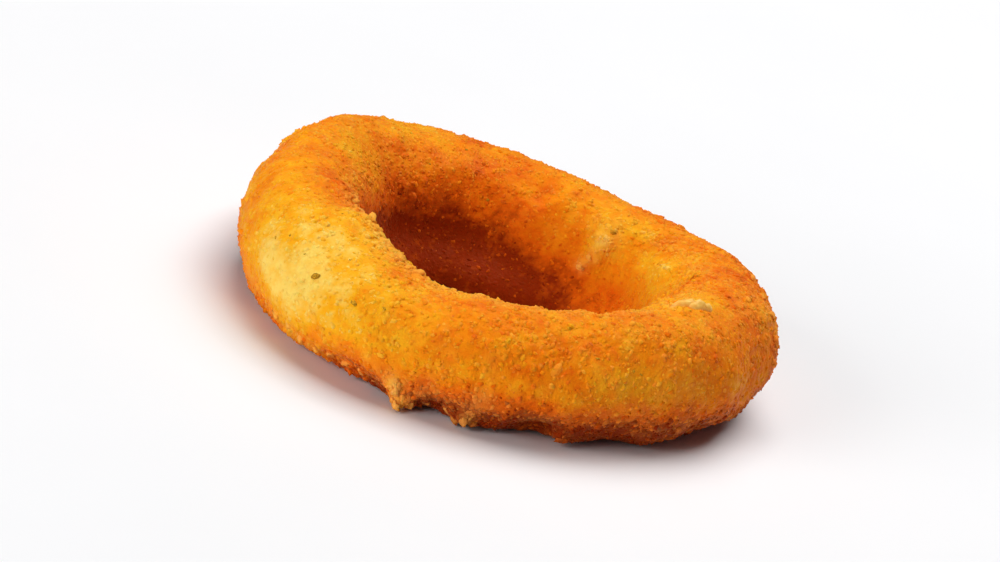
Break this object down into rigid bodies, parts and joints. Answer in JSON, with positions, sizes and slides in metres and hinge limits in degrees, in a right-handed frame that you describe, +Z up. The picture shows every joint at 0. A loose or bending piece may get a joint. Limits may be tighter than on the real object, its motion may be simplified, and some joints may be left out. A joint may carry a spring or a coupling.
{
  "type": "onion ring",
  "caption": "Single breadcrumbed and fried onion ring, a thick uneven ring with a round hole that lies flat.",
  "frame": {"origin": "on the surface that the ring lies on, under the centre of its bounding box", "axes": "+Z up through the hole, -Y towards the side that is shown in front, +X to the right seen from there"},
  "size_m": [0.0682, 0.0672, 0.017],
  "materials": {
    "crust": "golden fried breadcrumb crust, matt and slightly oily"
  },
  "bodies": {
    "root": {"onion_ring": "crust"}
  },
  "joints": []
}
